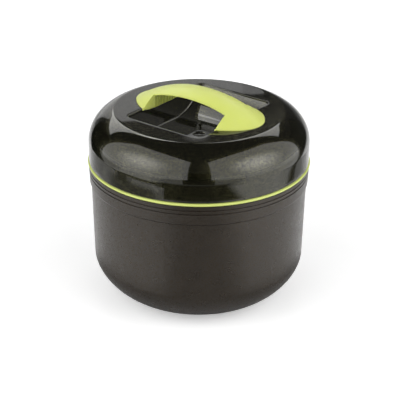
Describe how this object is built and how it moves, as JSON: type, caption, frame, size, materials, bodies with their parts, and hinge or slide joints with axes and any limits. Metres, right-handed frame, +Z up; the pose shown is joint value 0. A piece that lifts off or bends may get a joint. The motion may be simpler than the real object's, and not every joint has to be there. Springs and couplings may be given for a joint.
{
  "type": "insulated lunch box",
  "caption": "Round double-walled food pot with a steel bowl, a lift-off twist-lock lid, a finger trough in the lid and an arched carrying handle.",
  "frame": {"origin": "centre of the foot ring, on the surface that the box stands on", "axes": "+Z up along the pot's axis, +X along the handle"},
  "size_m": [0.1904, 0.1904, 0.1842],
  "materials": {
    "pot_plastic": "satin",
    "collar_plastic": "satin",
    "liner_steel": "satin",
    "gasket_rubber": "matte",
    "foam": "matte",
    "plug_plastic": "satin",
    "lime_rubber": "satin",
    "lid_plastic": "gloss",
    "cover_plastic": "satin",
    "lime_plastic": "satin",
    "screw_steel": "satin"
  },
  "bodies": {
    "pot": {"body_shell": "pot_plastic", "rim_collar": "collar_plastic", "food_liner": "liner_steel", "liner_gasket": "gasket_rubber", "body_insulation": "foam", "fill_plug": "plug_plastic"},
    "seal": {"seal_ring": "lime_rubber"},
    "lid": {"lid_shell": "lid_plastic", "lid_insulation": "foam", "lid_liner": "cover_plastic", "handle": "lime_plastic", "handle_screws": "screw_steel"}
  },
  "joints": [
    {"name": "lid_lift", "type": "slide", "parent": "pot", "child": "seal", "axis": [0, 0, 1], "range_m": [0, 0.15]},
    {"name": "lid_twist", "type": "hinge", "parent": "seal", "child": "lid", "pos_m": [0, 0, 0.1208], "axis": [0, 0, -1], "range_deg": [0, 28]}
  ]
}
